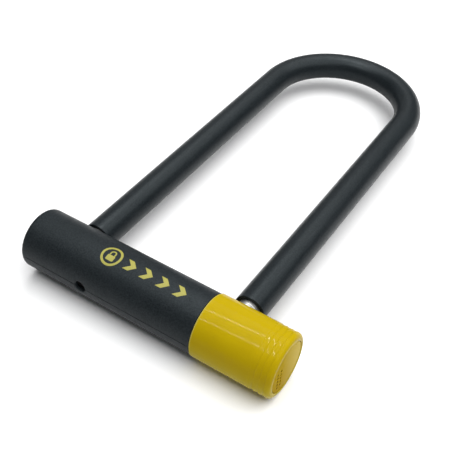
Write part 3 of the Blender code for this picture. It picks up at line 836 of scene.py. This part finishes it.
def shackle_coating():
    """The vinyl sleeve, open at both ends, with rolled end edges."""
    inset = 3.0

    def end(side, along):
        corners = [(along + inset, SLEEVE_BORE_R, 0), (along, SLEEVE_BORE_R, 0.3), (along, SLEEVE_R, 0.4),
                   (along + inset, SLEEVE_R, 0)]
        return [leg_ring(side, *point) for point in soften(corners)]

    left, right = end(-1, SLEEVE_LEFT_Y), end(1, SLEEVE_RIGHT_Y)
    starts = SLEEVE_LEFT_Y + inset + 1, SLEEVE_RIGHT_Y + inset + 1
    outer = u_rings(*starts, SLEEVE_R)
    inner = u_rings(*starts, SLEEVE_BORE_R)
    rings = left + outer + right[::-1] + inner[::-1]
    coating = object_of("shackle_coating", Skin().loft(rings, hollow=True))
    dress(coating, "shackle", BLACK_COATING, ["shackle_sleeve"], 45)


def shackle_steel():
    """The bar in the sleeve, with necked feet, lead-in tips and a notch below each foot."""
    tip_y, lead = BAR_LOW.y, 1.6
    foot = soften([
        (tip_y, 1.0, 0),
        (tip_y, FOOT_R - lead, 0.4),
        (tip_y + lead, FOOT_R, 0.5),
        (FOOT_TOP_Y, FOOT_R, 0.3),
        (FOOT_TOP_Y + 0.2, BAR_R, 0.15),
        (FOOT_TOP_Y + 4, BAR_R, 0),
    ])
    left = [leg_ring(-1, *point) for point in foot]
    right = [leg_ring(1, *point) for point in foot]
    start = FOOT_TOP_Y + 6
    rings = left + u_rings(start, start, BAR_R) + right[::-1]
    bar = object_of("shackle_steel", Skin().loft(rings))
    bevel = 0.5
    cutters = []
    for side in (-1, 1):
        low_x, high_x = side * LEG_X - BAR_R - 1, side * LEG_X + BAR_R + 1
        outlines = [
            [
                (x, -NOTCH_HALF_Y, -BAR_R - 1), (x, NOTCH_HALF_Y, -BAR_R - 1),
                (x, NOTCH_HALF_Y, NOTCH_ROOF_Z - bevel), (x, NOTCH_HALF_Y - bevel, NOTCH_ROOF_Z),
                (x, bevel - NOTCH_HALF_Y, NOTCH_ROOF_Z), (x, -NOTCH_HALF_Y, NOTCH_ROOF_Z - bevel),
            ]
            for x in (low_x, high_x)
        ]
        cutters.append(object_of(f"notch_cutter_{side + 1}", Skin().loft(outlines)))
    cut(bar, *cutters)
    dress(bar, "shackle", STEEL, ["shackle_bar"])


# Printed marks: a ring with a padlock sign and a row of chevrons, laid on the cover's curve

INK_LOW, INK_HIGH = 0.008, 0.045     # the ink's lower and upper skin above the cover
MARK_S = 2.4                         # how far round from the top towards the front the marks are centred
EMBLEM_X = -23.6
EMBLEM_RING_R = (5.1, 6.5)
PADLOCK_BODY = (-0.3, 3.3)           # the body's ends round the cover
PADLOCK_HALF = 2.5
PADLOCK_CORNER = 0.6
PADLOCK_BOW_R = (1.15, 1.95)
PADLOCK_BOW_AROUND = -1.6
STEM_X = 1.55                        # of the two straights below the padlock's bow
STEM_HALF = 0.4
STEM_LONG = 1.2
CHEVRONS = 4


def on_cover(x, around, lift):
    """A point this far round the cover from the marks' middle line, and lifted off its skin."""
    angle = math.pi / 2 + (MARK_S + around) / COVER_R
    radius = COVER_R + lift
    return x, radius * math.cos(angle), radius * math.sin(angle)


def ink(skin, grid, closed=False):
    """A thin solid over rows of (along, around) points. A closed one joins its last row to its first."""
    top = [skin.row([on_cover(x, around, INK_HIGH) for x, around in row]) for row in grid]
    bottom = [skin.row([on_cover(x, around, INK_LOW) for x, around in row]) for row in grid]
    for k in range(len(grid) if closed else len(grid) - 1):
        after = (k + 1) % len(grid)
        skin.bridge(top[k], top[after], closed=False)
        skin.bridge(bottom[k], bottom[after], closed=False)
        for end in (0, -1):
            skin.faces.append((top[k][end], top[after][end], bottom[after][end], bottom[k][end]))
    if not closed:
        for k in (0, -1):
            skin.bridge(top[k], bottom[k], closed=False)


ARC_COLUMNS = 4


def arc_grid(centre, inner, outer, start, end, rows):
    """Rows of points across an arc between two radii, from one angle to another in degrees."""
    grid = []
    for k in range(rows):
        angle = math.radians(start + (end - start) * k / (rows - 1))
        grid.append([
            (centre[0] + r * math.cos(angle), centre[1] + r * math.sin(angle))
            for r in (inner + (outer - inner) * c / ARC_COLUMNS for c in range(ARC_COLUMNS + 1))
        ])
    return grid


def emblem(skin):
    """A ring with a padlock sign in it: a body with rounded corners, a bow and two stems."""
    ring_rows, body_rows, bow_rows, stem_rows = 97, 14, 25, 3
    ink(skin, arc_grid((EMBLEM_X, 0.0), *EMBLEM_RING_R, 0, 360, ring_rows)[:-1], closed=True)
    low, high = PADLOCK_BODY
    body = []
    for k in range(body_rows + 1):
        around = low + (high - low) * k / body_rows
        near_edge = max(0.0, PADLOCK_CORNER - min(around - low, high - around))
        width = PADLOCK_HALF - PADLOCK_CORNER + math.sqrt(max(0.0, PADLOCK_CORNER ** 2 - near_edge ** 2))
        body.append([(EMBLEM_X + width * (c / 4 - 1), around) for c in range(9)])
    ink(skin, body)
    ink(skin, arc_grid((EMBLEM_X, PADLOCK_BOW_AROUND), *PADLOCK_BOW_R, 180, 360, bow_rows))
    for side in (-1, 1):
        ink(skin, [
            [
                (EMBLEM_X + side * STEM_X + w, PADLOCK_BOW_AROUND + STEM_LONG * k / stem_rows)
                for w in (-STEM_HALF, 0.0, STEM_HALF)
            ]
            for k in range(stem_rows + 1)
        ])


def chevrons(skin):
    """A row of chevrons that point towards the cap."""
    height, reach, width, pitch, first = 7.0, 3.7, 3.7, 11.1, -14.0
    steps = 16
    for index in range(CHEVRONS):
        start = first + pitch * index
        grid = []
        for k in range(steps + 1):
            share = k / steps
            lean = reach * (1 - abs(1 - 2 * share))
            grid.append([(start + lean + width * c / 4, height * (share - 0.5)) for c in range(5)])
        ink(skin, grid)


def printed_marks():
    skin = Skin()
    emblem(skin)
    chevrons(skin)
    dress(object_of("printed_marks", skin), "crossbar", PRINT)


# Studio

def floor():
    """A pale paper floor that isn't part of the lock. Its corners are in metres."""
    mesh = bpy.data.meshes.new("floor")
    reach = 6.0
    corners = [(-reach, -reach, 0), (reach, -reach, 0), (reach, reach, 0), (-reach, reach, 0)]
    mesh.from_pydata(corners, [], [(0, 1, 2, 3)])
    plane = bpy.data.objects.new("floor", mesh)
    bpy.context.scene.collection.objects.link(plane)
    look = Look("floor_paper", specular=0.1)
    tone = look.blend(look.noise(300, 2), (0.93, 0.93, 0.93), (0.96, 0.96, 0.96))
    mesh.materials.append(look.finish(tone, look.spread(look.noise(4), 0.8, 0.9)))


STRIP_WIDTH = 24


def area_light(name, size, watts):
    """A rectangular light with sides in mm, not placed yet."""
    lamp = bpy.data.lights.new(name, "AREA")
    lamp.shape = "RECTANGLE"
    lamp.size, lamp.size_y = size[0] * MM, size[1] * MM
    lamp.energy = watts
    holder = bpy.data.objects.new(name, lamp)
    bpy.context.scene.collection.objects.link(holder)
    return holder


def soft_light(name, place, target, size, watts):
    """A large light, placed in mm in the lock's frame, that faces a target."""
    holder = area_light(name, size, watts)
    holder.location = spot(*place)
    facing = spot(*place) - spot(*target)
    holder.rotation_euler = facing.to_track_quat("Z", "X").to_euler()
    return holder


def strip_light(name, start, end, watts):
    """A long thin light between two points, facing the cap. It adds highlights, and no diffuse light."""
    one, other = Vector(start), Vector(end)
    middle = (one + other) / 2
    holder = area_light(name, ((other - one).length, STRIP_WIDTH), watts)
    along = (other - one).normalized()
    facing = (middle - Vector((LEG_X, 0, CAP_R))).normalized()
    across = facing.cross(along).normalized()
    facing = along.cross(across)
    turn = Matrix((along, across, facing)).transposed().to_4x4()
    holder.matrix_world = Matrix.Translation(spot(*middle)) @ turn
    holder.visible_diffuse = False


def lights():
    """A soft overhead light, and glossy-only lights for the sheen of the blacks and the cap's highlights."""
    world = bpy.data.worlds.new("studio")
    bpy.context.scene.world = world
    world.use_nodes = True
    backdrop = world.node_tree.nodes["Background"]
    backdrop.inputs["Color"].default_value = (0.95, 0.97, 1.0, 1.0)
    backdrop.inputs["Strength"].default_value = 0.15
    soft_light("overhead", (450, 525, 1450), (450, 525, 0), (2700, 2550), 67)
    back = soft_light("back_soft", (-1160, 1500, 840), (0, 60, 0), (900, 2400), 3.2)
    back.visible_diffuse = False
    strip_light("strip_high", (-403, 61, 1141), (-238, 380, 1114), 1.98)
    strip_light("strip_high_far", (-238, 380, 1114), (-123, 601, 1096), 2.5)
    strip_light("strip_low", (-408, -595, 975), (-242, -394, 1113), 1.31)
    strip_light("strip_low_far", (-242, -394, 1113), (-104, -227, 1227), 2.3)


CAMERA_TURNS = (30.66, 43.16, 3.25)      # azimuth, elevation and roll, in degrees
CAMERA_TARGET = (3.98, 71.64, 0.0)       # in mm in the lock's frame
CAMERA_DISTANCE = 485.5
SENSOR_WIDTH = 36.0
FOCAL_LENGTH = 63.2


def camera():
    """The photo's camera, as fitted to the lock's outline."""
    azimuth, elevation, roll = (math.radians(turn) for turn in CAMERA_TURNS)
    target, distance = spot(*CAMERA_TARGET), CAMERA_DISTANCE * MM
    back = Vector((math.sin(azimuth) * math.cos(elevation), -math.cos(azimuth) * math.cos(elevation),
                   math.sin(elevation)))
    level = Vector((math.cos(azimuth), math.sin(azimuth), 0.0))
    above = back.cross(level)
    side = level * math.cos(roll) + above * math.sin(roll)
    top = above * math.cos(roll) - level * math.sin(roll)
    lens = bpy.data.cameras.new("camera")
    lens.sensor_width = SENSOR_WIDTH
    lens.lens = FOCAL_LENGTH
    lens.clip_start, lens.clip_end = 0.01, 50.0
    holder = bpy.data.objects.new("camera", lens)
    turn = Matrix((side, top, back)).transposed().to_4x4()
    holder.matrix_world = Matrix.Translation(target + back * distance) @ turn
    bpy.context.scene.collection.objects.link(holder)
    bpy.context.scene.camera = holder
    bpy.context.scene.view_settings.view_transform = "Standard"


dress_cad_nodes()
cover_shell()
cap_shell()
siren_grille()
key_face()
dust_cover_plate()
rivet()
retaining_screw()
leg_bushes()
shackle_coating()
shackle_steel()
printed_marks()
floor()
lights()
camera()
